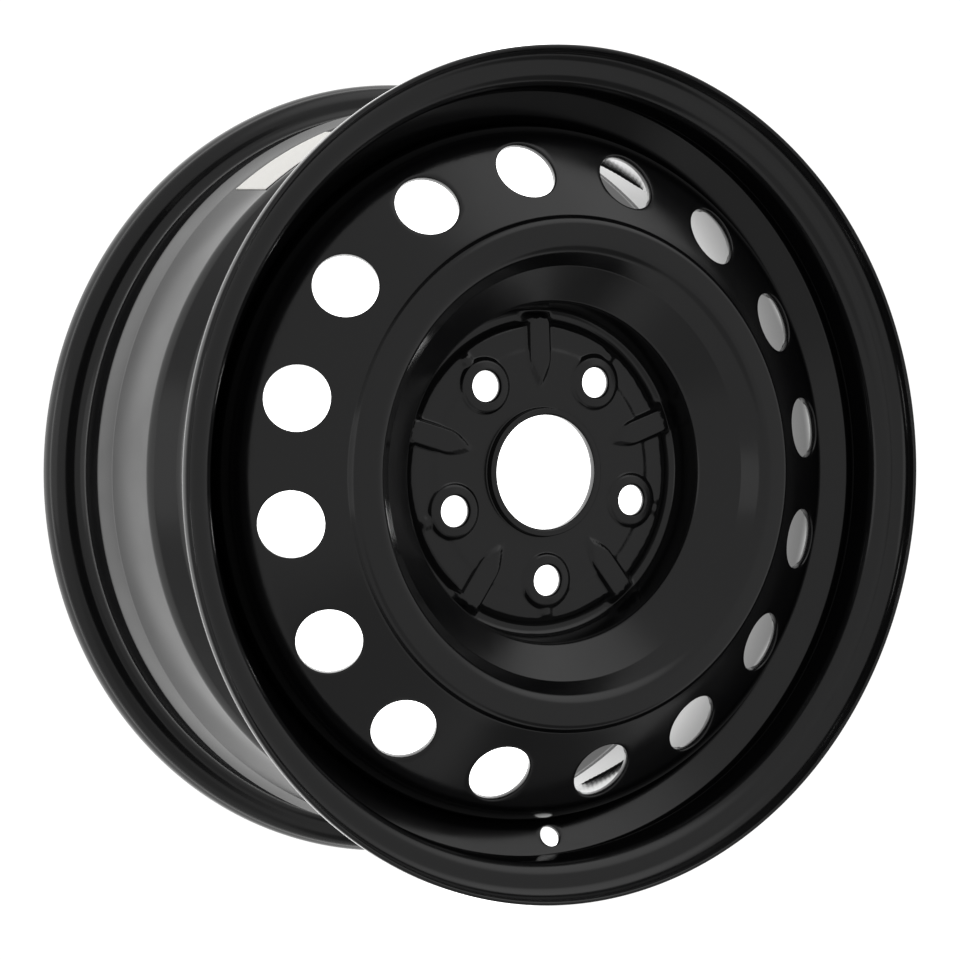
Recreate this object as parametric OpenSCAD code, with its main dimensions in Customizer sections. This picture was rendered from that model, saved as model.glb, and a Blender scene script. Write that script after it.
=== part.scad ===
// Pressed steel road wheel: a rolled rim with a pressed disc welded into its well.
// The axle runs along Z and the outboard face looks up.
// The origin is the centre of the hub mounting face, and the valve hole lies toward -Y.

/* [Rim] */
// Width between the two bead flanges
rim_width = 165.1; // [155:0.1:180]
// Diameter over the bead seats
bead_d = 405.6; // [400:0.1:415]
// Distance from the rim centre out to the hub mounting face
wheel_offset = 45; // [38:0.5:50]
// Thickness of the rim sheet
rim_t = 2.2; // [1.8:0.1:2.8]
// Height of the flanges above the bead seats
flange_h = 17.3; // [15.5:0.1:19]
// Width of each flange lip outside its bead face
lip_w = 12.9; // [11.5:0.1:15]
// Bend radius over the top of the flange lips
lip_bend = 9.5; // [7:0.1:10.5]
// Bend radius between a flange and its bead seat
seat_bend = 6.5; // [4.5:0.1:7.5]
// Taper of the bead seats in degrees
seat_taper = 5; // [3:0.5:7]
// Width of the bead seats up to their humps
seat_w = 17; // [15:0.1:19]
// Distance of the safety humps from the flanges
hump_w = 24; // [22:0.5:26]
// Height of the safety humps above the bead seats
hump_h = 1.6; // [1:0.1:2.2]
// Width of the top of the outboard hump
hump_top_w = 4.9; // [4.5:0.1:6]

/* [Well] */
// Depth of the well floor below the bead seats
well_depth = 17.3; // [15:0.1:19]
// Lean of the outboard well wall away from square to the axle, in degrees
well_lean = 29; // [24:0.5:34]
// Inboard edge of the well floor, from the rim centre
well_in = 7; // [4:0.5:9]
// Bend radius at both edges of the well floor
well_bend = 8; // [5:0.5:10]
// Well end of the inboard ledge, from the rim centre
ledge_start = 6.5; // [4:0.5:10]
// Depth of the ledge below the bead seats at its well end
ledge_drop = 6.3; // [5:0.1:8]
// Flange end of the inboard ledge, from the rim centre
ledge_end = 46.5; // [43:0.5:49]
// Depth of the ledge below the bead seats at its flange end
ledge_rise_drop = 2.3; // [1.5:0.1:3.5]

/* [Valve hole] */
// Diameter of the valve hole
valve_d = 11.5; // [10:0.1:16]
// Distance down the well wall from the outboard hump to the valve hole
valve_drop = 12.2; // [10.5:0.1:12.5]
// Width of the rolled edge of the valve hole
valve_edge = 0.4; // [0.2:0.1:0.8]

/* [Hub] */
// Thickness of the disc sheet
disc_t = 3.8; // [3:0.1:4.3]
// Diameter of the centre bore
bore_d = 60.1; // [54:0.1:66]
// Height of the turned-up collar round the bore
collar_h = 4.3; // [3:0.1:5]
// Diameter of the lug circle
pcd = 114.3; // [110:0.1:118]
// Number of lug holes
lug_count = 5; // [4:1:5]
// Diameter of the lug holes
lug_d = 16; // [14:0.1:17]
// Length of the straight part of the lug holes
lug_land = 1.9; // [1.4:0.1:2.2]
// Width of the coned seat at the mouth of the lug holes
lug_seat_w = 0.8; // [0.5:0.1:1.1]
// Diameter of the raised boss round each lug hole
boss_d = 29.5; // [27:0.5:33]
// Height of that boss
boss_h = 2.4; // [2:0.1:3]
// Width of the tongue from each boss to the edge of the hub pad
tongue_w = 8; // [6:0.5:10]
// Height of that tongue
tongue_h = 1.4; // [1:0.1:2]
// Radius of the raised hub pad
pad_r = 77.3; // [75:0.1:78.5]
// Height of the middle of the hub pad above the mounting ring round it
pad_raise = 4.2; // [3.8:0.1:4.6]
// Radius at which the hub pad starts to step down
step_r = 63.5; // [62:0.1:65]
// Width of that step
step_w = 3; // [2.4:0.1:4]
// Depth of that step
step_h = 0.8; // [0.4:0.1:1]
// Outer radius of the mounting ring
ring_r = 86.3; // [85.5:0.1:87]

/* [Ribs] */
// Width of the ribs where they rise from the middle of the hub pad
rib_w = 13.6; // [11:0.2:16]
// Height of the ribs above the middle of the hub pad
rib_h = 1.8; // [1.4:0.1:2.4]
// Width of the sloping flank of a rib
rib_flank = 3.4; // [2.5:0.1:4]
// Radius at which the ribs come to a point
rib_tip_r = 45; // [42:0.5:50]
// Length of the pointed nose of a rib
rib_nose_l = 13; // [10:0.5:16]
// Radius of the outer ends of the ribs at their foot
rib_end_r = 85.2; // [84:0.1:85.6]
// Lean of the outer ends of the ribs, as the radius lost up to their top
rib_end_fall = 3; // [1.5:0.1:4]

/* [Bowl and crown] */
// Radius of the foot of the bowl wall
foot_r = 88.6; // [88:0.1:89.5]
// Height of the foot of the bowl wall
foot_h = 21.8; // [19:0.1:25]
// Radius at which the bowl wall steepens
wall_r = 107; // [104:0.1:109]
// Height at which the bowl wall steepens
wall_h = 38.6; // [36:0.1:40]
// Inner radius of the crown
crown_in_r = 116; // [114:0.1:119]
// Outer radius of the crown
crown_out_r = 130.6; // [128.5:0.1:131]
// Height of the crown above the mounting face
crown_h = 48.6; // [47:0.1:51]
// Fall of the crown toward its outer edge
crown_fall = 0.8; // [0:0.1:1.5]

/* [Vent cone] */
// Inner radius of the vent cone
cone_r = 133.2; // [132.8:0.1:134]
// Height of the vent cone at its inner edge
cone_h = 43.9; // [42:0.1:44.5]
// Slope of the vent cone in degrees
cone_slope = 29.5; // [27:0.5:32]
// Bend radius of the shoulder between the vent cone and the disc flange
shoulder_bend = 24; // [18:0.5:28]
// Number of vent holes
vent_count = 16; // [8:1:18]
// Diameter of the vent holes
vent_d = 33; // [26:0.5:36]
// Radius of the circle of vent holes
vent_r = 158.2; // [154:0.1:160]
// Angle of the first vent hole
vent_phase = 6.4; // [0:0.1:22.5]
// Width of the rolled edge of the vent holes
vent_edge = 0.8; // [0.4:0.1:1.2]

/* [Disc flange and welds] */
// Radial gap left between the disc flange and the well floor
fit_gap = 0.05; // [0.02:0.01:0.1]
// Length of well floor left bare behind the disc flange
weld_room = 8.5; // [7.5:0.1:11]
// Leg length of the weld beads
weld_leg = 4.5; // [3:0.1:5]
// Number of weld beads
weld_count = 8; // [4:1:12]
// Arc covered by each weld bead in degrees
weld_arc = 22; // [12:1:26]

/* [Label] */
// Width of the paper label across the ledge
label_w = 33; // [20:0.5:34]
// Arc covered by the label in degrees
label_arc = 18; // [10:0.5:30]
// Angle of the middle of the label
label_angle = 120.5; // [90:0.5:150]
// Thickness of the label
label_t = 0.2; // [0.1:0.05:0.4]
// Thickness of the glue line left under the label
glue_t = 0.15; // [0.1:0.05:0.3]

/* [Hidden] */
$fn = 180;

enamel = [0.06, 0.06, 0.065];
bend_step = 12;
tip_steps = 8;
cut = 1;
through = 40;

bead_r = bead_d / 2;
lip_r = bead_r + flange_h;
half_w = rim_width / 2;
tip_z = half_w + lip_w - rim_t / 2;
well_r = bead_r - well_depth;
well_inner_r = well_r - rim_t;
seat_end_r = bead_r - seat_w * tan(seat_taper);
hump_r = bead_r + hump_h;
wall_top_z = half_w - hump_w - hump_top_w;
well_out = wall_top_z - (hump_r - well_r) * tan(well_lean);
hump_bend = 5;
hump_foot_bend = 3;
ledge_bend = 12;

pad_z = disc_t + pad_raise;
pad_low_z = pad_z - step_h;
collar_r = bore_d / 2 + disc_t;
lug_r = pcd / 2;
lug_first = 270;
lug_step = 360 / lug_count;
lug_seat_angle = 60;
lug_mouth_rim = 0.5;
lug_back_rim = 1.5;
boss_spread = (boss_d - lug_d - 2 * (lug_seat_w + lug_mouth_rim)) / boss_h;
rib_sunk = 0.6;
rib_spare = 2;
tightest_bend = 0.8;
convex_bend = disc_t + tightest_bend;
pad_foot_bend = 2.5;
ring_bend = 4;
step_bend = 3;
wall_bend = 3;
crown_bend = 8;
cone_bend = 3;
flange_r = well_inner_r - fit_gap;
flange_end_z = well_in + weld_room - wheel_offset;
cone_fall = tan(cone_slope);
vent_z = cone_h - (vent_r - cone_r) * cone_fall;

// Outer line of the rim from the outboard lip to the inboard lip: radius, height, bend radius
rim_line = [
    [lip_r, tip_z, 0],
    [lip_r, half_w, lip_bend],
    [bead_r, half_w, seat_bend],
    [seat_end_r, half_w - seat_w, hump_foot_bend],
    [hump_r, half_w - hump_w, hump_bend],
    [hump_r, wall_top_z, hump_bend],
    [well_r, well_out, well_bend],
    [well_r, well_in, well_bend],
    [bead_r - ledge_drop, -ledge_start, ledge_bend],
    [bead_r - ledge_rise_drop, -ledge_end, hump_bend],
    [hump_r, hump_w - half_w, hump_bend],
    [seat_end_r, seat_w - half_w, hump_foot_bend],
    [bead_r, -half_w, seat_bend],
    [lip_r, -half_w, lip_bend],
    [lip_r, -tip_z, 0]
];

// Front line of the disc from the bore collar to the end of its flange: radius, height, bend radius
disc_line = [
    [collar_r, pad_z + collar_h, 0],
    [collar_r, pad_z, tightest_bend],
    [step_r, pad_z, convex_bend],
    [step_r + step_w, pad_low_z, step_bend],
    [pad_r, pad_low_z, convex_bend],
    [pad_r + pad_low_z - disc_t, disc_t, pad_foot_bend],
    [ring_r, disc_t, ring_bend],
    [foot_r, foot_h, convex_bend],
    [wall_r, wall_h, wall_bend],
    [crown_in_r, crown_h, crown_bend],
    [crown_out_r, crown_h - crown_fall, convex_bend],
    [cone_r, cone_h, cone_bend],
    [flange_r, cone_h - (flange_r - cone_r) * cone_fall, shoulder_bend],
    [flange_r, flange_end_z, 0]
];

function place(v) = [v[0], v[1]];
function unit(v) = v / norm(v);
function heading(v) = atan2(v[1], v[0]);
function at_angle(a) = [cos(a), sin(a)];
function right_of(v) = [v[1], -v[0]];

// Arc that rounds the corner between two straight stretches
function bend(before, corner, after) =
    let (
        back = unit(place(before) - place(corner)),
        ahead = unit(place(after) - place(corner)),
        half = acos(back * ahead) / 2,
        centre = place(corner) + unit(back + ahead) * corner[2] / sin(half),
        first = heading(place(corner) + back * corner[2] / tan(half) - centre),
        sweep = sign(cross(-back, ahead)) * (180 - 2 * half),
        steps = max(2, ceil(abs(sweep) / bend_step))
    )
    [for (i = [0 : steps]) centre + corner[2] * at_angle(first + sweep * i / steps)];

// A line with its corners rounded
function rounded(line) = [
    for (i = [0 : len(line) - 1])
        each (line[i][2] == 0 ? [place(line[i])] : bend(line[i - 1], line[i], line[i + 1]))
];

// The far face of a sheet that lies to the right of a line
function far_face(p, t) = [
    for (i = [0 : len(p) - 1])
        let (
            last = len(p) - 1,
            before = unit(i == 0 ? p[1] - p[0] : p[i] - p[i - 1]),
            after = unit(i == last ? p[i] - p[i - 1] : p[i + 1] - p[i]),
            side = unit(right_of(before) + right_of(after))
        )
        p[i] + side * t / (side * right_of(after))
];

function backward(p) = [for (i = [len(p) - 1 : -1 : 0]) p[i]];

// Half circle that rounds the cut edge of a sheet from one face to the other
function tip(a, b) =
    let (centre = (a + b) / 2)
    [
        for (i = [1 : tip_steps - 1])
            centre + norm(a - b) / 2 * at_angle(heading(a - centre) - 180 * i / tip_steps)
    ];

module sheet(line, t, round_tips) {
    near = rounded(line);
    far = far_face(near, t);
    last = len(near) - 1;
    end_tip = round_tips ? tip(near[last], far[last]) : [];
    start_tip = round_tips ? tip(far[0], near[0]) : [];
    polygon(concat(near, end_tip, backward(far), start_tip));
}

module lug_places() {
    for (i = [0 : lug_count - 1])
        rotate([0, 0, lug_first + i * lug_step])
            translate([lug_r, 0, 0])
                children();
}

module rib_places() {
    for (i = [0 : lug_count - 1])
        rotate([0, 0, lug_first + (i + 0.5) * lug_step])
            children();
}

module vent_places() {
    for (i = [0 : vent_count - 1])
        rotate([0, 0, vent_phase + i * 360 / vent_count])
            translate([vent_r, 0, vent_z])
                rotate([0, cone_slope, 0])
                    children();
}

// Valve hole square to the outboard well wall
module valve_cut() {
    along = [-cos(well_lean), -sin(well_lean)];
    inward = right_of(along);
    spot = [hump_r, wall_top_z] + along * valve_drop + inward * rim_t;
    rotate([0, 0, lug_first])
        translate([spot[0], 0, spot[1]])
            rotate([0, 90 - heading(inward), 0]) {
                cylinder(d = valve_d, h = through, center = true);
                translate([0, 0, -valve_edge])
                    cylinder(d1 = valve_d, d2 = valve_d + 2 * (valve_edge + cut), h = valve_edge + cut);
            }
}

module rim() {
    color(enamel)
        translate([0, 0, -wheel_offset])
            difference() {
                rotate_extrude()
                    sheet(rim_line, rim_t, true);
                valve_cut();
            }
}

// Round body with the flank of a rib: upright at its foot, then leaning in up to the top
module rib_side(r) {
    slope = rib_flank / rib_h;
    low = disc_t - rib_sunk;
    foot = pad_low_z - rib_sunk;
    rotate_extrude()
        polygon([
            [0, low],
            [r + (pad_z - foot) * slope, low],
            [r + (pad_z - foot) * slope, foot],
            [r - rib_flank, pad_z + rib_h],
            [0, pad_z + rib_h]
        ]);
}

// Straight bar with the same flanks
module rib_bar() {
    slope = rib_flank / rib_h;
    low = disc_t - rib_sunk;
    foot = pad_low_z - rib_sunk;
    wide = rib_w / 2 + (pad_z - foot) * slope;
    narrow = rib_w / 2 - rib_flank;
    translate([rib_tip_r - rib_nose_l, 0, 0])
        rotate([90, 0, 90])
            linear_extrude(height = rib_end_r - rib_tip_r + 2 * rib_nose_l)
                polygon([
                    [-wide, low],
                    [wide, low],
                    [wide, foot],
                    [narrow, pad_z + rib_h],
                    [-narrow, pad_z + rib_h],
                    [-wide, foot]
                ]);
}

// Bar with a nose between two arcs that meet at the tip radius
module rib() {
    nose_x = (rib_tip_r + rib_nose_l + rib_end_r) / 2 + rib_spare;
    reach = nose_x - rib_tip_r;
    nose_y = (rib_nose_l * (2 * reach - rib_nose_l) - rib_w * rib_w / 4) / rib_w;
    nose_r = norm([reach, nose_y]);
    low = disc_t - rib_sunk;
    intersection() {
        rib_bar();
        translate([nose_x, nose_y, 0])
            rib_side(nose_r);
        translate([nose_x, -nose_y, 0])
            rib_side(nose_r);
        translate([0, 0, low])
            cylinder(r1 = rib_end_r, r2 = rib_end_r - rib_end_fall, h = pad_z + rib_h - low);
    }
}

module lug_boss() {
    sunk = step_h + cut;
    translate([0, 0, pad_z - sunk])
        cylinder(d1 = boss_d + sunk * boss_spread, d2 = boss_d - boss_h * boss_spread, h = boss_h + sunk);
}

module tongue() {
    round_r = (tongue_w * tongue_w / 4 + tongue_h * tongue_h) / (2 * tongue_h);
    intersection() {
        translate([0, 0, pad_low_z + tongue_h - round_r])
            rotate([0, 90, 0])
                cylinder(r = round_r, h = pad_r - lug_r);
        translate([0, -tongue_w, pad_low_z - cut])
            cube([pad_r - lug_r, 2 * tongue_w, tongue_h + cut]);
    }
}

// Lug hole with its coned seat in front and the hollow of its boss behind
module lug_cut() {
    seat_tan = tan(lug_seat_angle / 2);
    seat_z = pad_z + boss_h - lug_seat_w / seat_tan;
    land_z = seat_z - lug_land;
    hollow_d = lug_d + 2 * lug_back_rim;
    hollow_h = land_z - pad_low_z + disc_t + cut;
    cylinder(d = lug_d, h = through, center = true);
    translate([0, 0, seat_z])
        cylinder(d1 = lug_d, d2 = lug_d + 2 * (lug_seat_w + cut * seat_tan), h = lug_seat_w / seat_tan + cut);
    translate([0, 0, land_z - hollow_h])
        cylinder(d1 = hollow_d + hollow_h * boss_spread, d2 = hollow_d, h = hollow_h);
}

module vent_cut() {
    cylinder(d = vent_d, h = through, center = true);
    translate([0, 0, -vent_edge])
        cylinder(d1 = vent_d, d2 = vent_d + 2 * (vent_edge + cut), h = vent_edge + cut);
}

module disc() {
    color(enamel)
        difference() {
            union() {
                rotate_extrude()
                    sheet(disc_line, disc_t, false);
                rib_places()
                    rib();
                lug_places() {
                    lug_boss();
                    tongue();
                }
            }
            lug_places()
                lug_cut();
            vent_places()
                vent_cut();
        }
}

// Quarter-round beads in the corner between the disc flange and the well floor
module weld_beads() {
    color(enamel)
        for (i = [0 : weld_count - 1])
            rotate([0, 0, (i + 0.5) * 360 / weld_count - weld_arc / 2])
                rotate_extrude(angle = weld_arc)
                    intersection() {
                        translate([well_inner_r, flange_end_z])
                            circle(r = weld_leg);
                        translate([well_inner_r - weld_leg, flange_end_z - weld_leg])
                            square(weld_leg);
                    }
}

// Blank label that lies on the inboard ledge of the rim
module paper_label() {
    low = [bead_r - ledge_rise_drop, -ledge_end];
    high = [bead_r - ledge_drop, -ledge_start];
    along = unit(high - low);
    outward = right_of(along);
    middle = (low + high) / 2 + outward * glue_t;
    half = along * label_w / 2;
    color("white")
        rotate([0, 0, label_angle - label_arc / 2])
            translate([0, 0, -wheel_offset])
                rotate_extrude(angle = label_arc)
                    polygon([
                        middle - half,
                        middle + half,
                        middle + half + outward * label_t,
                        middle - half + outward * label_t
                    ]);
}

rim();
disc();
weld_beads();
paper_label();
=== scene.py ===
import math

import bmesh
import bpy
import numpy as np
from mathutils import Matrix, Vector


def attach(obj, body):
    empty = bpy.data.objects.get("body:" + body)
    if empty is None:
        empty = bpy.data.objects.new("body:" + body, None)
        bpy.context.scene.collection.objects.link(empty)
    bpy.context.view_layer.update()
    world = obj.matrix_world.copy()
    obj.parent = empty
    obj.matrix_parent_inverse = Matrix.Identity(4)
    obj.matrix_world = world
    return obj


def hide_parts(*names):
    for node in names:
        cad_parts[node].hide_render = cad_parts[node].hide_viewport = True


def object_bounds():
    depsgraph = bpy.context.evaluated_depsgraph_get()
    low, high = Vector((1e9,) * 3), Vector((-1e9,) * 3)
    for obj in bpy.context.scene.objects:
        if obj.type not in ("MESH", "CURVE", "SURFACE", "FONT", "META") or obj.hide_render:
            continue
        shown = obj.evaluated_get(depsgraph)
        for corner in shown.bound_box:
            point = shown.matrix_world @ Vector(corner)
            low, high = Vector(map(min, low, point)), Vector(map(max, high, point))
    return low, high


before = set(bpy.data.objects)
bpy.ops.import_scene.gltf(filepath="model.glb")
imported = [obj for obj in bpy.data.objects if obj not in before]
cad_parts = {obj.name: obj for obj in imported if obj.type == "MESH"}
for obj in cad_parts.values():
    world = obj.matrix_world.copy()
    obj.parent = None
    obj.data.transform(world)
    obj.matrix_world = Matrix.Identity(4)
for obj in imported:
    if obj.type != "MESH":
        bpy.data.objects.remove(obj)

cadBox = [[float(c) for c in corner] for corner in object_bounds()]
print("frame loaded, CAD box", cadBox)

mm = 0.001


# Helpers for shapes

def roundedLine(corners, stepDeg):
    # a line of corners (radius, height, bend) with each corner turned into an arc
    pts = []
    for i, (r, z, bend) in enumerate(corners):
        here = np.array([r, z])
        if bend == 0:
            pts.append(here[None])
            continue
        back = np.array(corners[i - 1][:2]) - here
        ahead = np.array(corners[i + 1][:2]) - here
        back, ahead = back / np.linalg.norm(back), ahead / np.linalg.norm(ahead)
        half = math.acos(float(back @ ahead)) / 2
        way = (back + ahead) / np.linalg.norm(back + ahead)
        centre = here + way * bend / math.sin(half)
        first = here + back * bend / math.tan(half) - centre
        turn = math.pi - 2 * half
        side = math.copysign(1, back[1] * ahead[0] - back[0] * ahead[1])
        steps = max(3, math.ceil(math.degrees(turn) / stepDeg) + 1)
        a = math.atan2(first[1], first[0]) + side * np.linspace(0, turn, steps)
        pts.append(centre + bend * np.stack([np.cos(a), np.sin(a)], 1))
    return np.concatenate(pts)


def farFace(line, sheet):
    # the far face of a sheet to the right of a line, at the same number of points
    d = np.diff(line, axis=0)
    d /= np.linalg.norm(d, axis=1)[:, None]
    before, after = np.vstack([d[:1], d]), np.vstack([d, d[-1:]])
    side = before + after
    side = np.stack([side[:, 1], -side[:, 0]], 1)
    side /= np.linalg.norm(side, axis=1)[:, None]
    square = np.stack([after[:, 1], -after[:, 0]], 1)
    return line + side * (sheet / np.sum(side * square, axis=1))[:, None]


def tipArc(a, b, steps):
    # half circle that closes a sheet's cut edge from point a round to point b
    centre, radius = (a + b) / 2, np.linalg.norm(a - b) / 2
    t = math.atan2(*(a - centre)[::-1]) - np.linspace(0, math.pi, steps + 1)[1:-1]
    return centre + radius * np.stack([np.cos(t), np.sin(t)], 1)


def runLength(line):
    # distance along a line at each of its points
    return np.concatenate([[0], np.cumsum(np.linalg.norm(np.diff(line, axis=0), axis=1))])


def along(distance, run, line):
    # the point of a line at a distance along it
    return np.stack([np.interp(distance, run, line[:, 0]), np.interp(distance, run, line[:, 1])], -1)


def spun(line, angles):
    # rows of a line spun to each angle (one set of angles, or one per row)
    r, z = line[:, 0][:, None], line[:, 1][:, None]
    return np.stack([r * np.cos(angles), r * np.sin(angles), z + 0 * angles], 2)


def turned(points, angle):
    # points turned round the axle
    c, d = math.cos(angle), math.sin(angle)
    return points @ np.array([[c, d, 0], [-d, c, 0], [0, 0, 1]])


def gridFaces(rows, columns, closed):
    # quads of a grid, facing the way of rows crossed with columns
    i, j = np.meshgrid(np.arange(rows - 1), np.arange(columns if closed else columns - 1), indexing="ij")
    k = (j + 1) % columns
    quads = [i * columns + j, (i + 1) * columns + j, (i + 1) * columns + k, i * columns + k]
    return np.stack(quads, 2).reshape(-1, 4)


def border(a, b):
    # the four sides of a patch, counted round against the clock, from rising shares 0 to 1 along the two ways
    first = np.concatenate([np.ones(len(a) - 1), b[:0:-1], np.zeros(len(a) - 1), b[:-1]])
    second = np.concatenate([a[:-1], np.ones(len(b) - 1), a[:0:-1], np.zeros(len(b) - 1)])
    return first, second


def blendMax(a, b, room):
    # the larger of two heights, with a fillet where they meet
    return np.maximum(a, b) + np.maximum(room - np.abs(a - b), 0) ** 2 / (4 * room)


def blendMin(a, b, room):
    # the smaller of two heights, with the edge between them rounded
    return -blendMax(-a, -b, room)


def addPiece(name, grids, node, material, mergeMm=0.02):
    # one skin from grids (points, closed round) that share edges; equal points are merged
    pts, quads, base = [], [], 0
    for g, closed in grids:
        pts.append(g.reshape(-1, 3))
        quads.append(gridFaces(g.shape[0], g.shape[1], closed) + base)
        base += g.shape[0] * g.shape[1]
    pts, quads = np.concatenate(pts), np.concatenate(quads)
    mesh = bpy.data.meshes.new(name)
    mesh.vertices.add(len(pts))
    mesh.vertices.foreach_set("co", (pts * mm).astype(np.float32).ravel())
    mesh.loops.add(quads.size)
    mesh.loops.foreach_set("vertex_index", quads.astype(np.int32).ravel())
    mesh.polygons.add(len(quads))
    mesh.polygons.foreach_set("loop_start", np.arange(0, quads.size, 4, dtype=np.int32))
    mesh.update(calc_edges=True)
    skin = bmesh.new()
    skin.from_mesh(mesh)
    bmesh.ops.remove_doubles(skin, verts=skin.verts, dist=mergeMm * mm)
    openEdges = sum(not e.is_manifold for e in skin.edges)
    skin.to_mesh(mesh)
    skin.free()
    mesh.polygons.foreach_set("use_smooth", np.ones(len(mesh.polygons), dtype=bool))
    mesh.materials.append(material)
    piece = bpy.data.objects.new(name, mesh)
    bpy.context.scene.collection.objects.link(piece)
    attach(piece, "root")
    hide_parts(node)
    triangles = len(mesh.loops) - 2 * len(mesh.polygons)
    print(name, len(mesh.vertices), "points,", triangles, "triangles, open edges:", openEdges)


# Helpers for materials

def toLinear(hexText):
    # sRGB hex text to a linear colour
    c = np.array([int(hexText[i:i + 2], 16) for i in (1, 3, 5)]) / 255
    c = np.where(c <= 0.04045, c / 12.92, ((c + 0.055) / 1.055) ** 2.4)
    return (*(float(v) for v in c), 1.0)


def addNode(tree, kind, settings, links):
    # one shader node: settings go to input sockets or attributes, links bring other nodes' outputs in
    n = tree.nodes.new(kind)
    for key, value in settings.items():
        if isinstance(key, int) or key in n.inputs:
            n.inputs[key].default_value = value
        else:
            setattr(n, key, value)
    for key, (source, output) in links.items():
        tree.links.new(source.outputs[output], n.inputs[key])
    return n


def newMaterial(name):
    # an empty material, its node tree and its object coordinates
    m = bpy.data.materials.new(name)
    m.use_nodes = True
    m.node_tree.nodes.clear()
    return m, m.node_tree, addNode(m.node_tree, "ShaderNodeTexCoord", {}, {})


def noise(tree, place, sizeMm, detail):
    # noise in object space with blots of a size in mm
    settings = {"Scale": 1 / (sizeMm * mm), "Detail": detail}
    return addNode(tree, "ShaderNodeTexNoise", settings, {"Vector": (place, "Object")})


def mapRange(tree, source, fromEnds, toEnds, curve="LINEAR"):
    # a value carried from one range to another, held at the ends
    ends = zip(("From Min", "From Max", "To Min", "To Max"), (*fromEnds, *toEnds))
    return addNode(tree, "ShaderNodeMapRange", {"interpolation_type": curve, **dict(ends)}, {"Value": source})


def mixColours(tree, source, first, second):
    # two colours mixed by a value
    settings = {"data_type": "RGBA", 6: toLinear(first), 7: toLinear(second)}
    return addNode(tree, "ShaderNodeMix", settings, {0: source})


def addSurface(tree, settings, links):
    # the shader of a material, wired to its output
    shade = addNode(tree, "ShaderNodeBsdfPrincipled", settings, links)
    addNode(tree, "ShaderNodeOutputMaterial", {}, {"Surface": (shade, "BSDF")})


# Materials

enamelLook = {
    "black": "#0a0a0b",
    "dusty": "#161617",  # where a little dust lies on the film
    "ior": 1.5,
    "gloss": 0.13,
    "dull": 0.22,
    "peelMm": 2.4,  # size of the orange peel
    "peelDepth": 0.0022,  # mm
    "cloudMm": 36.0,  # size of the patches that differ in gloss
    "cloudRange": (0.3, 0.7),  # noise that gives full gloss and full dullness
    "speckMm": 0.9,  # size of the dust grains
    "speckRange": (0.62, 0.8),  # noise where a grain starts and where it is full
    "speckShare": 0.5,
}

weldLook = dict(enamelLook, gloss=0.25, dull=0.4, peelMm=1.1, peelDepth=0.03)


def blackEnamel(name, look):
    # dipped black enamel on steel: near black under sharp, slightly wavy reflections, duller in patches
    m, t, place = newMaterial(name)
    cloud = noise(t, place, look["cloudMm"], detail=3.0)
    speck = noise(t, place, look["speckMm"], detail=2.0)
    peel = noise(t, place, look["peelMm"], detail=1.0)
    grain = mapRange(t, (speck, "Fac"), look["speckRange"], (0.0, look["speckShare"]))
    rough = mapRange(t, (cloud, "Fac"), look["cloudRange"], (look["gloss"], look["dull"]))
    colour = mixColours(t, (grain, "Result"), look["black"], look["dusty"])
    depth = {"Strength": 1.0, "Distance": look["peelDepth"] * mm}
    wave = addNode(t, "ShaderNodeBump", depth, {"Height": (peel, "Fac")})
    addSurface(
        t, {"IOR": look["ior"]},
        {"Base Color": (colour, 2), "Roughness": (rough, "Result"), "Normal": (wave, "Normal")},
    )
    return m


paperLook = {
    "white": "#f2f1ee",
    "fibre": "#e4e2dd",
    "fibreMm": 0.5,
    "tooth": 0.4,  # strength of the rough surface
    "toothDepth": 0.02,  # mm
    "roughness": 0.75,
}


def whitePaper(name, look):
    # matt label paper: white with a faint fibre mottle and no shine
    m, t, place = newMaterial(name)
    fibre = noise(t, place, look["fibreMm"], detail=4.0)
    colour = mixColours(t, (fibre, "Fac"), look["white"], look["fibre"])
    depth = {"Strength": look["tooth"], "Distance": look["toothDepth"] * mm}
    tooth = addNode(t, "ShaderNodeBump", depth, {"Height": (fibre, "Fac")})
    addSurface(t, {"Roughness": look["roughness"]}, {"Base Color": (colour, 2), "Normal": (tooth, "Normal")})
    return m


rimEnamel = blackEnamel("blackEnamelOnRolledSteel", enamelLook)
discEnamel = blackEnamel("blackEnamelOnPressedSteel", enamelLook)
weldEnamel = blackEnamel("blackEnamelOverWeld", weldLook)
labelPaper = whitePaper("uncoatedLabelPaper", paperLook)
print("materials ready")


# Rim: one closed section spun round the axle, with the valve hole let into the outboard well wall

rimShape = {
    "halfWidth": 82.55,
    "beadRadius": 202.8,
    "offset": 45.0,  # rim centre to hub mounting face
    "sheet": 2.2,
    "flangeHeight": 17.23,  # a hair under the solid, whose mesh has fewer steps round the axle
    "lipWidth": 12.88,
    "lipBend": 9.5,
    "seatBend": 6.5,
    "seatWidth": 17.0,
    "seatTaper": 5.0,
    "seatEndBend": 3.0,
    "humpFrom": 24.0,
    "humpHeight": 1.6,
    "humpTop": 4.9,
    "humpBend": 5.0,
    "wellDepth": 17.3,
    "wellLean": 29.0,
    "wellIn": 7.0,
    "wellBend": 8.0,
    "ledge": ((6.3, 6.5, 12.0), (2.3, 46.5, 5.0)),  # drop below the seat, distance from the rim centre, bend
    "valveDrop": 12.2,
    "valveRadius": 5.75,
    "valveEdge": 0.4,  # rounding of the hole on the wheel side
    "edgeMiddle": 0.3,  # share of that rounding where its middle row lies
    "valveReach": 8.0,  # half width of the patch round the hole
    "patchSteps": 12,  # steps along each side of the patch
    "patchRows": 7,  # rows from its sides to the hole
    "patchGap": 0.3,  # least distance from the patch to the next row
    "tipSteps": 10,
    "arcStep": 7.0,  # degrees between points on a bend
    "fineStep": 1.0,  # the same where points are looked up
    "runSteps": 40000,  # places along the section that its rows are sought among
    "columns": 320,  # steps round the axle
}


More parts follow.
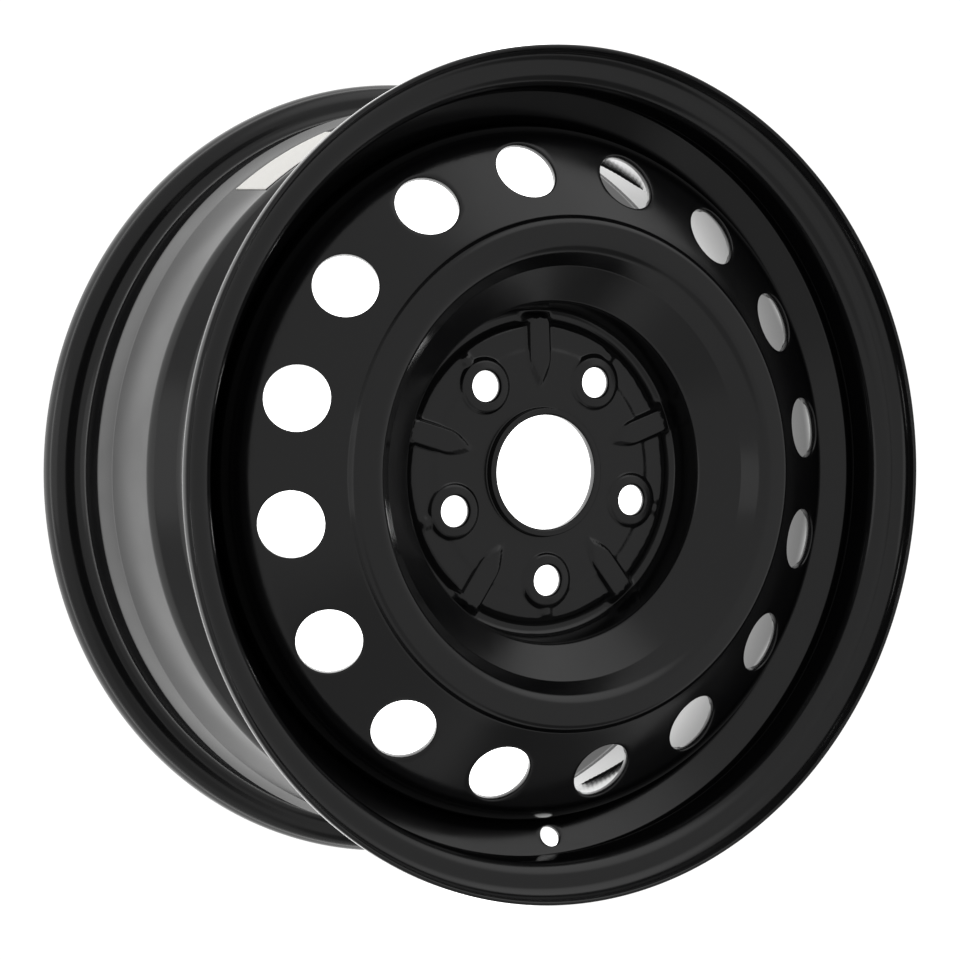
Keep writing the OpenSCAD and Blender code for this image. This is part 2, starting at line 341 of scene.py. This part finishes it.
def rimLines(s):
    # tyre side and wheel side of the section, where the wall patch starts, and the way down the wall
    bead, half = s["beadRadius"], s["halfWidth"]
    lip, well, hump = bead + s["flangeHeight"], bead - s["wellDepth"], bead + s["humpHeight"]
    seatIn = half - s["seatWidth"]
    seatEnd = bead - s["seatWidth"] * math.tan(math.radians(s["seatTaper"]))
    tip = half + s["lipWidth"] - s["sheet"] / 2
    lean = math.radians(s["wellLean"])
    humpOut = half - s["humpFrom"]
    top = humpOut - s["humpTop"]
    wellTop = top - (hump - well) * math.tan(lean)
    lipBend, seatBend, endBend = s["lipBend"], s["seatBend"], s["seatEndBend"]
    humpBend, wellBend = s["humpBend"], s["wellBend"]
    (drop1, away1, bend1), (drop2, away2, bend2) = s["ledge"]
    corners = [
        (lip, tip, 0), (lip, half, lipBend), (bead, half, seatBend), (seatEnd, seatIn, endBend),
        (hump, humpOut, humpBend), (hump, top, humpBend),
        (well, wellTop, wellBend), (well, s["wellIn"], wellBend),
        (bead - drop1, -away1, bend1), (bead - drop2, -away2, bend2), (hump, -humpOut, humpBend),
        (seatEnd, -seatIn, endBend), (bead, -half, seatBend), (lip, -half, lipBend), (lip, -tip, 0),
    ]
    fine = roundedLine(corners, s["fineStep"])
    run = runLength(fine)
    dense = np.linspace(0, run[-1], s["runSteps"] + 1)
    dots = along(dense, run, fine)
    down = np.array([-math.cos(lean), -math.sin(lean)])
    hole = np.array([hump, top]) + down * s["valveDrop"]
    coarse = np.concatenate([roundedLine(corners, s["arcStep"]), hole[None]])
    coarseRun = dense[np.argmin(np.linalg.norm(coarse[:, None] - dots[None], axis=2), axis=1)]
    rows, holeRun = coarseRun[:-1], coarseRun[-1]
    patch = holeRun + s["valveReach"] * np.linspace(-1, 1, s["patchSteps"] + 1)
    above, below = rows < patch[0] - s["patchGap"], rows > patch[-1] + s["patchGap"]
    near = along(np.concatenate([rows[above], patch, rows[below]]), run, fine)
    shift = np.array([0, -s["offset"]])
    return near + shift, farFace(near, s["sheet"]) + shift, int(above.sum()), down


def rimSkin(s):
    # section point (r, z) spun to angle a gives (r cos a, r sin a, z)
    # at the valve the two wall faces are patches between the hole's circle and a four-sided border
    near, far, a, down = rimLines(s)
    steps = s["patchSteps"]
    b, mid, reach = a + steps, a + steps // 2, steps // 2
    step = 2 * math.pi / s["columns"]
    valve = -math.pi / 2
    spread = valve + np.arange(-reach, reach + 1) * step
    rest = valve + np.arange(reach, s["columns"] - reach + 1) * step
    inTip, outTip = tipArc(near[-1], far[-1], s["tipSteps"]), tipArc(far[0], near[0], s["tipSteps"])
    loop = np.concatenate([near, inTip, far[::-1], outTip, near[:1]])
    upper = np.concatenate([far[:a + 1][::-1], outTip, near[:a + 1]])
    lower = np.concatenate([near[b:], inTip, far[b:][::-1]])
    marks = np.linspace(0, 1, steps + 1)
    share1, share2 = (v[::-1] for v in border(marks, marks))
    phi = np.arctan2(share2 - 0.5, share1 - 0.5)

    def ring(face, radius):
        # circle of the hole on a wall face: x down the wall, y along the rim
        x, y = radius * np.cos(phi), radius * np.sin(phi)
        fall = x + y * y / (2 * face[mid][0]) * down[0]
        r, z = face[mid][0] + fall * down[0], face[mid][1] + fall * down[1]
        turn = valve + np.arcsin(y / r)
        return np.stack([r * np.cos(turn), r * np.sin(turn), z], 1)

    def sides(face):
        # the patch's border on a wall face
        rows, columns = np.rint(share1 * steps).astype(int), np.rint(share2 * steps).astype(int)
        return spun(face[a:b + 1], spread)[rows, columns]

    axis = np.array([0, -down[1], -down[0]])  # from tyre side to wheel side at the valve
    edge, radius = s["valveEdge"], s["valveRadius"]
    part = s["edgeMiddle"] * edge
    share = np.linspace(0, 1, s["patchRows"])[:, None, None]
    hole = np.concatenate([
        sides(near) * (1 - share) + ring(near, radius) * share,
        (ring(far, radius) - axis * edge)[None],
        (ring(far, radius + part) - axis * part)[None],
        ring(far, radius + edge) * (1 - share) + sides(far) * share,
    ])
    bands = ((loop, rest), (upper, spread), (lower, spread))
    return [*((spun(line, turn), False) for line, turn in bands), (hole, True)]


addPiece("rolledRim", rimSkin(rimShape), "rim", rimEnamel)


# Disc: one pressing; a line from bore to flange spun round the axle, with patches for the lugs and vents

discShape = {
    "sheet": 3.8,
    "insideBend": 0.8,  # radius inside the tight bends
    "columns": 240,  # steps round the axle, a multiple of the vents and of the lugs
    "arcStep": 6.0,  # degrees between points on a bend
    "fineStep": 0.75,  # the same where heights are looked up
    "boreRadius": 30.05,
    "collarHeight": 4.3,
    "collarEdges": (1.3, 0.6),  # rounding of the turned-up collar inside and outside
    "collarReach": 8.0,  # width of the flat round the bore that goes with the collar
    "collarStep": 12.0,
    "padHeight": 8.0,
    "padRadius": 77.3,
    "padEdge": 1.5,  # rounding of the pad's outer edge in front
    "step": (63.5, 3.0, 0.8, 3.0),  # radius, width, depth and lower bend of the step in the pad
    "ringRadius": 86.3,  # outer radius of the mounting ring
    "ringBends": (2.5, 4.0),  # at its inner and outer corner
    "foot": (88.8, 23.3),  # of the bowl: radius, height
    "wall": (107.4, 37.3, 3.0),  # radius, height, bend
    "crown": (116.0, 48.6, 8.0, 130.6, 47.8),  # inner radius, height and bend, outer radius and height
    "cone": (133.2, 43.9, 3.0, 29.5),  # radius, height, bend, slope
    "flangeRadius": 183.25,
    "flangeEnd": -29.5,
    "shoulderBend": 24.0,
    "cutEdge": ((0.15, 0.35), (0.5, 0.5)),  # rounding of the flange's end: in, down
    "hubZone": (75.2, 85.2),  # where the lug patches end behind and in front
    "hubMarks": (61.0, 62.2, 67.8, 69.4, 75.0, 76.0),  # radii where their spacing changes
    "hubCounts": (12, 9, 5, 11),  # points from one spacing to the next
    "lugCount": 5,
    "lugCircle": 57.15,
    "lugRadius": 8.0,
    "lugLand": 1.9,  # straight part of the lug holes
    "seatWidth": 0.8,
    "seatHalfAngle": 30.0,
    # roundings of the lug hole's edges: out from the radius, up from the land, the seat's foot or the boss
    "landEdge": ((1.7, -0.2), (1.2, 0.0), (0.2, 0.0), (0.0, 0.2)),
    "seatFoot": ((0.0, -0.1), (0.08, 0.14)),
    "seatMouth": ((-0.1, -0.2), (0.12, 0.0)),
    "bossRadius": 14.75,
    "bossHeight": 2.4,
    "bossFoot": (1.1, 0.5),  # steepness of the foot, share of the height where the dome would end
    "bossReach": (7.0, 0.45),  # close mesh rows on the boss: distance, greatest share of the way
    "bossRows": 13,
    "bridgeRows": 8,  # mesh rows from there to those of the rib, ends counted
    "backRows": 5,
    "hollowRadius": 16.8,  # hollow of the boss at the back of the sheet
    "mouthRim": 0.5,
    "tongue": (8.0, 1.4, 1.5, 1.5),  # width, height, length and steepness of its end
    "rib": (13.6, 1.8, 1.3),  # width, height, flank
    "ribRun": (45.0, 13.0, 85.2, 3.0),  # point radius, nose length, end radius, lean of the end
    "ribNose": (73.6, 1.0),  # radius where the nose is at its widest, rounding into the sides
    "ribFoot": (1.5, 3.0),  # distance outside the rib where its flank steepens, and by how much
    # mesh rows by distance from the middle of a rib
    "ribRows": (11, 9, 7.8, 7.1, 6.75, 6.4, 6.05, 5.7, 5.35, 5, 4.4, 3, 1.5, 0),
    "pressRound": 0.4,  # rounding of the pressed edges
    "joinRound": 0.5,  # fillet round the bosses and tongues
    "ventCount": 16,
    "ventRadius": 16.5,
    "ventCircle": 158.2,
    "ventLean": 29.5,  # degrees from the axle
    "ventPhase": 6.4,  # degrees of the first vent from +X
    "ventEdge": 0.8,
    "ventEdgeTurns": (90, 60, 30),  # mesh rows round the rolled edge, in degrees
    "ventBackEdge": 0.2,
    "ventZone": (137.5, 177.0),  # where the vent patches start and end
    "ventRows": (4, 9),  # mesh rows of the vent patches behind and in front
    "ventSettle": (12, 1.3),  # steps that bring a vent's circle onto the sheet, and their damping
}


def discCorners(s):
    # the front of the sheet from the bore to the flange's end: radius, height, bend
    pad, sheet = s["padHeight"], s["sheet"]
    stepR, stepW, stepH, stepBend = s["step"]
    low, tight = pad - stepH, sheet + s["insideBend"]
    padR, flangeR = s["padRadius"], s["flangeRadius"]
    ringIn, ringOut = s["ringBends"]
    inR, inZ, inBend, outR, outZ = s["crown"]
    coneR, coneZ, coneBend, slope = s["cone"]
    onCone = lambda r: coneZ - (r - coneR) * math.tan(math.radians(slope))
    hubEnd, ventIn = s["hubZone"][0], s["ventZone"][0]
    return [
        (s["boreRadius"] + sheet, pad, 0), (stepR, pad, tight), (stepR + stepW, low, stepBend),
        (hubEnd, low, 0), (padR, low, tight), (padR + low - sheet, sheet, ringIn),
        (s["ringRadius"], sheet, ringOut), (*s["foot"], tight), s["wall"],
        (inR, inZ, inBend), (outR, outZ, tight), (coneR, coneZ, coneBend), (ventIn, onCone(ventIn), 0),
        (flangeR, onCone(flangeR), s["shoulderBend"]), (flangeR, s["flangeEnd"], 0),
    ]


def hubHeight(s, base, x, y):
    # height of the hub over its plan, lug on the x axis: pad and ring with rib, boss and tongue on top
    r, off = np.hypot(x, y), np.abs(np.arctan2(y, x))
    pad, low = s["padHeight"], s["padHeight"] - s["step"][2]
    edge, join = s["pressRound"], s["joinRound"]

    # rib: a flat top, steep flanks, a pointed nose between two arcs and a leaning end
    width, height, flank = s["rib"]
    tip, nose, end, lean = s["ribRun"]
    noseX, noseRound = s["ribNose"]
    footFrom, footFall = s["ribFoot"]
    fromRib = math.pi / s["lugCount"] - off
    px, py = r * np.cos(fromRib), np.abs(r * np.sin(fromRib))
    noseY = (nose * (2 * (noseX - tip) - nose) - width ** 2 / 4) / width
    inside = math.hypot(noseX - tip, noseY) - np.hypot(px - noseX, py + noseY)
    inside = blendMin(width / 2 - py, inside, noseRound)
    rib = pad + height * inside / flank + footFall * np.minimum(inside + footFrom, 0)
    rib = blendMin(rib, pad + height, edge)
    rib = blendMin(rib, pad + height + (end - lean - r) * (pad + height - s["sheet"]) / lean, edge)

    # boss: a low dome round the hole with a steep foot
    fromLug = np.hypot(x - s["lugCircle"], y)
    mouth = s["lugRadius"] + s["seatWidth"] + s["mouthRim"]
    steep, foot = s["bossFoot"]
    dome = 1 - (1 - foot) * np.maximum(fromLug - mouth, 0) / (s["bossRadius"] - mouth)
    boss = blendMin(pad + steep * (s["bossRadius"] - fromLug), pad + s["bossHeight"] * dome, edge)

    # tongue: an arched strip from the boss to the pad's edge
    wide, high, endLength, endFall = s["tongue"]
    tongue = low + high * (1 - (2 * y / wide) ** 2) - endFall * np.maximum(x - s["padRadius"] + endLength, 0)
    tongue = np.where(x < s["lugCircle"], 0, tongue)
    return blendMax(blendMax(blendMax(base(r), rib, edge), tongue, join), boss, join)


def discSkin(s):
    # point (r, z) of the line spun to angle a gives (r cos a, r sin a, z)
    corners, sheet = discCorners(s), s["sheet"]
    front, fine = roundedLine(corners, s["arcStep"]), roundedLine(corners, s["fineStep"])
    back, fineBack = farFace(front, sheet), farFace(fine, sheet)
    fineRun = runLength(fine)
    step = 2 * math.pi / s["columns"]
    lugTurn, ventTurn = 2 * math.pi / s["lugCount"], 2 * math.pi / s["ventCount"]
    lugStart, ventStart = -math.pi / 2, math.radians(s["ventPhase"])
    hubBegin, coneBegin = lugStart + lugTurn / 2, ventStart + ventTurn / 2
    twist = (coneBegin - hubBegin) % step
    columns = np.arange(s["columns"]) * step
    at = lambda r: int(np.argmax(front[:, 0] >= r - 1e-6))
    hubIn, hubOut, ventIn, ventOut = (at(r) for r in (*s["hubZone"], *s["ventZone"]))
    grids = []

    # bore and turned-up collar
    bore, pad = s["boreRadius"], s["padHeight"]
    inR, collarR = bore + s["collarReach"], bore + sheet
    backZ, brim = pad - sheet, pad + s["collarHeight"]
    collarIn, collarOut = s["collarEdges"]
    collar = roundedLine([
        (inR, backZ, 0), (bore, backZ, sheet + s["insideBend"]), (bore, brim, collarIn),
        (collarR, brim, collarOut), (collarR, pad, s["insideBend"]), (inR, pad, 0),
    ], s["collarStep"])
    grids.append((spun(collar, hubBegin + columns), True))

    # bowl and crown in front and behind; the columns turn a little to meet the vents
    for line, order in ((front[hubOut:ventIn + 1], 1), (back[hubIn:ventIn + 1], -1)):
        turn = hubBegin + columns + twist * np.linspace(0, 1, len(line))[:, None]
        grids.append((spun(line, turn)[::order], True))

    # shoulder, flange and its cut edge
    cut = np.array(s["cutEdge"])
    cutBack = np.array([back[-1][0], front[-1][1]]) + cut[::-1] * [1, -1]
    outer = np.concatenate([front[ventOut:], front[-1] - cut, cutBack, back[ventOut:][::-1]])
    grids.append((spun(outer, coneBegin + columns), True))

    # lug sectors: patch behind, hole with its hollow and coned seat, patch in front
    outR, backR = front[hubOut][0], back[hubIn][0]
    ends = (inR, *s["hubMarks"], outR)
    steps = np.concatenate([np.linspace(*ends[2 * i:2 * i + 2], n) for i, n in enumerate(s["hubCounts"])])
    marks = np.linspace(0, 1, s["columns"] // s["lugCount"] + 1)
    share1, share2 = border(marks, (steps - inR) / (outR - inR))
    crisp = [(r, z, s["padEdge"] if r == s["padRadius"] else bend) for r, z, bend in corners]
    hubLine = roundedLine(crisp, s["fineStep"])
    hubEnd = int(np.argmax(hubLine[:, 0] > outR)) + 1
    base = lambda r: np.interp(r, hubLine[:hubEnd, 0], hubLine[:hubEnd, 1])
    turn = (share2 - 0.5) * lugTurn
    ray = np.stack([np.cos(turn), np.sin(turn)], 1)
    plan = ray * (inR + (outR - inR) * share1)[:, None]
    planBack = ray * (inR + (backR - inR) * share1)[:, None]
    centre = np.array([s["lugCircle"], 0])
    phi = np.arctan2(plan[:, 1], plan[:, 0] - s["lugCircle"])
    circle = lambda radius: centre + radius * np.stack([np.cos(phi), np.sin(phi)], 1)
    lug, top = s["lugRadius"], pad + s["bossHeight"]
    seat = lug + s["seatWidth"]
    seatZ = top - s["seatWidth"] / math.tan(math.radians(s["seatHalfAngle"]))
    landZ = seatZ - s["lugLand"]
    share = np.linspace(0, 1, s["backRows"])[:, None, None]
    flat = planBack * (1 - share) + circle(s["hollowRadius"]) * share
    rows = [np.concatenate([flat, base(np.linalg.norm(flat, axis=2))[..., None] - sheet], 2)]
    edges = ((lug, landZ, "landEdge"), (lug, seatZ, "seatFoot"), (seat, top, "seatMouth"))
    for radius, height, edge in edges:
        for out, up in s[edge]:
            rows.append(np.concatenate([circle(radius + out), np.full((len(phi), 1), height + up)], 1)[None])
    mouth = circle(seat + s["mouthRim"])
    length = np.linalg.norm(plan - mouth, axis=1)
    toRib = mouth[:, 0] * math.sin(lugTurn / 2) - np.abs(mouth[:, 1]) * math.cos(lugTurn / 2)
    reach, most = s["bossReach"]
    bossRows = np.linspace(0, 1, s["bossRows"])[:, None] * np.minimum(reach / length, most)
    ribRows = 1 - np.array(s["ribRows"])[:, None] / toRib
    bridge = np.linspace(bossRows[-1], ribRows[0], s["bridgeRows"])[1:-1]
    share = np.concatenate([bossRows, bridge, ribRows])[..., None]
    flat = mouth * (1 - share) + plan * share
    z = hubHeight(s, base, flat[..., 0], flat[..., 1])
    z[-1] = np.where(share1 == 1, front[hubOut][1], np.where(share1 == 0, pad, z[-1]))
    rows.append(np.concatenate([flat, z[..., None]], 2))
    sector = np.concatenate(rows)
    for k in range(s["lugCount"]):
        grids.append((turned(sector, lugStart + k * lugTurn), True))

    # vent sectors: patch behind, hole along its own lean with a rolled front edge, patch in front
    marks = np.linspace(0, 1, s["columns"] // s["ventCount"] + 1)
    share1, share2 = border(marks, marks)
    lean = math.radians(s["ventLean"])
    axis = np.array([math.sin(lean), 0, math.cos(lean)])
    across, aside = np.array([math.cos(lean), 0, -math.sin(lean)]), np.array([0, 1, 0])
    coneR, coneZ, _, slope = s["cone"]
    ventR = s["ventCircle"]
    centre = np.array([ventR, 0, coneZ - (ventR - coneR) * math.tan(math.radians(slope))])
    flange = int(np.argmax(fine[:, 0] > s["flangeRadius"] - 0.01))
    runAt = lambda r, line: np.interp(r, line[:flange, 0], fineRun[:flange])
    run1, run2 = runAt(front[ventIn][0], fine), runAt(front[ventOut][0], fine)
    sideRun, sideTurn = run1 + (run2 - run1) * share1, (share2 - 0.5) * ventTurn
    phi = np.arctan2(sideTurn * ventR, sideRun - runAt(ventR, fine))

    def ventRing(radius, line):
        # where lines along the vent axis, in a circle round it, come through a face of the sheet
        p = centre + radius * (np.cos(phi)[:, None] * across + np.sin(phi)[:, None] * aside)
        tries, damping = s["ventSettle"]
        for _ in range(tries):
            r = np.hypot(p[:, 0], p[:, 1])
            rise = np.interp(r, line[:flange, 0], line[:flange, 1]) - p[:, 2]
            p = p + (rise / damping)[:, None] * axis
        return p

    def patch(radius, line, count):
        # rows on a face of the sheet from the vent's circle to the sides of its sector
        p = ventRing(radius, line)
        share = np.linspace(0, 1, count)[:, None]
        d = runAt(np.hypot(p[:, 0], p[:, 1]), line) * (1 - share) + sideRun * share
        turn = np.arctan2(p[:, 1], p[:, 0]) * (1 - share) + sideTurn * share
        rz = along(d, fineRun, line)
        return np.stack([rz[..., 0] * np.cos(turn), rz[..., 0] * np.sin(turn), rz[..., 1]], -1)

    edge, backEdge, radius = s["ventEdge"], s["ventBackEdge"], s["ventRadius"]
    behind, ahead = s["ventRows"]
    rows = [patch(radius + backEdge, fineBack, behind)[::-1]]
    rows.append((ventRing(radius, fineBack) + axis * backEdge)[None])
    for a in np.radians(s["ventEdgeTurns"]):
        rolled = ventRing(radius + edge * (1 - math.sin(a)), fine)
        rows.append((rolled - axis * edge * (1 - math.cos(a)))[None])
    rows.append(patch(radius + edge, fine, ahead))
    sector = np.concatenate(rows)
    for k in range(s["ventCount"]):
        grids.append((turned(sector, ventStart + k * ventTurn), True))
    return grids


addPiece("pressedDisc", discSkin(discShape), "disc", discEnamel)


# Weld: short fillet beads in the corner between the disc flange and the well floor

weldShape = {
    "count": 8,
    "arc": 22.0,
    "leg": 4.5,
    "leastLeg": 0.15,  # what is left at the ends
    "endPower": 6,  # the higher, the blunter the ends
    "corner": (183.3, -29.5),
    "rippleMm": 3.0,
    "rippleDepth": 0.05,
    "steps": (96, 8),  # along a bead and across it
}


def weldSkin(s):
    # corner minus leg times (cos a, sin a), a quarter turn, swept along the arc
    # the leg shrinks to the ends and ripples on the way
    r0, z0 = s["corner"]
    long, wide = s["steps"]
    t = np.linspace(0, 1, long + 1)[:, None]
    a = np.linspace(0, math.pi / 2, wide + 1)[None]
    sweep = np.radians(s["arc"]) * (t - 0.5)
    ripple = 1 - s["rippleDepth"] * (1 + np.cos(2 * math.pi * sweep * r0 / s["rippleMm"])) / 2
    taper = np.sqrt(np.clip(1 - np.abs(2 * t - 1) ** s["endPower"], 0, 1))
    leg = s["leg"] * ripple * taper + s["leastLeg"]
    r = np.concatenate([r0 - leg * np.cos(a), r0 + 0 * leg], 1)
    z = np.concatenate([z0 - leg * np.sin(a), z0 + 0 * leg], 1)
    bead = np.stack([r * np.cos(sweep), r * np.sin(sweep), z], 2)
    first, last = (bead[[i]].mean(1, keepdims=True).repeat(bead.shape[1], 1) for i in (0, -1))
    bead = np.concatenate([first, bead, last])
    return [(turned(bead, (k + 0.5) * 2 * math.pi / s["count"]), True) for k in range(s["count"])]


addPiece("weldBeads", weldSkin(weldShape), "weld_beads", weldEnamel)


# Label: a thin bare paper sheet that follows the cone of the inboard ledge

labelShape = {
    "width": 33.0,
    "arc": 18.0,
    "angle": 120.5,
    "thickness": 0.2,
    "glue": 0.15,
    "ends": ((200.5, -91.5), (196.5, -51.5)),  # the ledge's line: radius, height
    "lift": 0.12,  # of the corners
    "liftPowers": (4, 3),  # the higher, the nearer to the corners
    "points": (41, 33),
}


def labelSkin(s):
    # ledge line at distance d, spun to angle a, raised by glue and thickness; the corners lift a little
    low, high = (np.array(e) for e in s["ends"])
    way = (high - low) / np.linalg.norm(high - low)
    outward = np.array([way[1], -way[0]])
    (n1, n2), (power1, power2) = s["points"], s["liftPowers"]
    u, v = np.linspace(-1, 1, n1)[:, None], np.linspace(-1, 1, n2)[None]
    lift = s["lift"] * (u * u) ** power1 * (v * v) ** power2
    turn = np.radians(s["angle"] - v * s["arc"] / 2)
    mid = (low + high) / 2

    def layer(height):
        # one face of the paper at a height above the ledge
        rz = mid + way * (u * s["width"] / 2 + 0 * v)[..., None] + outward * (height + lift)[..., None]
        return np.stack([rz[..., 0] * np.cos(turn), rz[..., 0] * np.sin(turn), rz[..., 1]], 2)

    top, under = layer(s["glue"] + s["thickness"]), layer(s["glue"])
    rim = lambda g: np.concatenate([g[0], g[1:, -1], g[-1, -2::-1], g[-2:0:-1, 0]])
    return [(top, False), (under[::-1], False), (np.stack([rim(under), rim(top)]), True)]


addPiece("bareLabel", labelSkin(labelShape), "paper_label", labelPaper)
print("pieces ready")


# Floor, light and camera

stageLook = {
    "floor": "#f6f6f5",
    "floorFar": "#f1f1f1",
    "floorSize": 9.0,  # metres
    "floorCloudMm": 1000 / 3,
    # painted glow of the floor, which is no lamp, by distance from the axle in metres: a painted pool of
    # light under the wheel and a painted bright ring round it
    "floorPaintedGlow": ((0.195, 3.0), (0.22, 1.0), (0.24, 1.0), (0.25, 2.9), (0.262, 2.9), (0.28, 1.0)),
    "floorShare": 0.35,  # share of the room's light that it sends back
    "floorRough": 0.9,
    "room": 0.55,  # brightness of the tent
    # brighter and darker parts of the tent: way to it, cosines of its edge and middle, gain
    "tent": (
        ((0.519, 0.714, 0.469), 0.84, 0.98, 0.6),
        ((0.459, -0.734, 0.5), 0.925, 0.97, -0.37),
        ((-0.17, -0.592, 0.788), 0.89, 0.97, -0.15),
    ),
    # each lamp: place, aim, size in metres, power in watts
    "lamps": {"leftBox": ((-2.2, 0.2, 0.5), (0, 0, 0), 1.4, 2.0)},
}

floorMesh = bpy.data.meshes.new("floor")
h, low = stageLook["floorSize"] / 2, cadBox[0][2]
floorMesh.from_pydata([(-h, -h, low), (h, -h, low), (h, h, low), (-h, h, low)], [], [(0, 1, 2, 3)])
floor = bpy.data.objects.new("floor", floorMesh)
bpy.context.scene.collection.objects.link(floor)


def paleFloor(name, look):
    # pale matt floor that glows though it is no lamp: plain white to the eye; its brighter parts, a painted
    # pool of light under the wheel and a painted ring round it, only show in the enamel and through the vents
    m, t, place = newMaterial(name)
    cloud = noise(t, place, look["floorCloudMm"], detail=2.0)
    glow = mixColours(t, (cloud, "Fac"), look["floor"], look["floorFar"])
    flat = addNode(t, "ShaderNodeVectorMath", {"operation": "MULTIPLY", 1: (1, 1, 0)}, {0: (place, "Object")})
    reach = addNode(t, "ShaderNodeVectorMath", {"operation": "LENGTH"}, {0: (flat, "Vector")})
    # painted light: the floor's glow strength follows a ramp by distance from the axle
    ramp = addNode(t, "ShaderNodeValToRGB", {}, {"Fac": (reach, "Value")})
    stops = look["floorPaintedGlow"]
    most = max(power for _, power in stops)
    marks = ramp.color_ramp.elements
    marks.remove(marks[1])
    for i, (distance, power) in enumerate(stops):
        mark = marks[0] if i == 0 else marks.new(distance)
        mark.position, mark.color = distance, (power / most,) * 3 + (1,)
    strength = addNode(t, "ShaderNodeMath", {"operation": "MULTIPLY", 1: most}, {0: (ramp, "Color")})
    addSurface(
        t,
        {
            "Base Color": (look["floorShare"],) * 3 + (1,),
            "Roughness": look["floorRough"],
            "Specular IOR Level": 0.0,
        },
        {"Emission Color": (glow, 2), "Emission Strength": (strength, "Value")},
    )
    return m


floorMesh.materials.append(paleFloor("paleFloorWithPaintedGlow", stageLook))

# soft light tent, with a brighter part on the far right and two darker ones on the valve side
world = bpy.data.worlds.new("studio")
bpy.context.scene.world = world
world.use_nodes = True
air = world.node_tree
way = addNode(air, "ShaderNodeTexCoord", {}, {})
total = addNode(air, "ShaderNodeValue", {}, {})
total.outputs["Value"].default_value = stageLook["room"]
for aim, edge, middle, gain in stageLook["tent"]:
    facing = {"operation": "DOT_PRODUCT", 1: aim}
    toward = addNode(air, "ShaderNodeVectorMath", facing, {0: (way, "Generated")})
    glow = mapRange(air, (toward, "Value"), (edge, middle), (0.0, gain), "SMOOTHSTEP")
    total = addNode(air, "ShaderNodeMath", {"operation": "ADD"}, {0: (total, "Value"), 1: (glow, "Result")})
air.nodes["Background"].inputs["Color"].default_value = (1, 1, 1, 1)
air.links.new(total.outputs["Value"], air.nodes["Background"].inputs["Strength"])

for name, (where, aim, size, power) in stageLook["lamps"].items():
    lamp = bpy.data.lights.new(name, "AREA")
    lamp.shape, lamp.size, lamp.energy = "DISK", size, power
    box = bpy.data.objects.new(name, lamp)
    box.location = where
    box.rotation_mode = "QUATERNION"
    box.rotation_quaternion = Vector(np.array(aim) - np.array(where)).to_track_quat("-Z", "Y")
    bpy.context.scene.collection.objects.link(box)

bpy.context.scene.view_settings.view_transform = "Standard"  # plain greys, as a product picture has

cameraLook = {
    "place": (-0.67325, 0.05519, 1.11512),
    "right": (0.8437, -0.0292, 0.5360),
    "up": (0.0293, 0.9995, 0.0084),
    "lens": 92.14,
    "sensor": 36.0,
    "shift": (-0.1124, -0.0967),
}
camData = bpy.data.cameras.new("camera")
camData.lens, camData.sensor_width = cameraLook["lens"], cameraLook["sensor"]
camData.shift_x, camData.shift_y = cameraLook["shift"]
camera = bpy.data.objects.new("camera", camData)
right = Vector(cameraLook["right"]).normalized()
back = right.cross(Vector(cameraLook["up"])).normalized()
up = back.cross(right)
turn = Matrix((right, up, back)).transposed().to_4x4()
camera.matrix_world = Matrix.Translation(cameraLook["place"]) @ turn
bpy.context.scene.collection.objects.link(camera)
bpy.context.scene.camera = camera
print("stage ready")
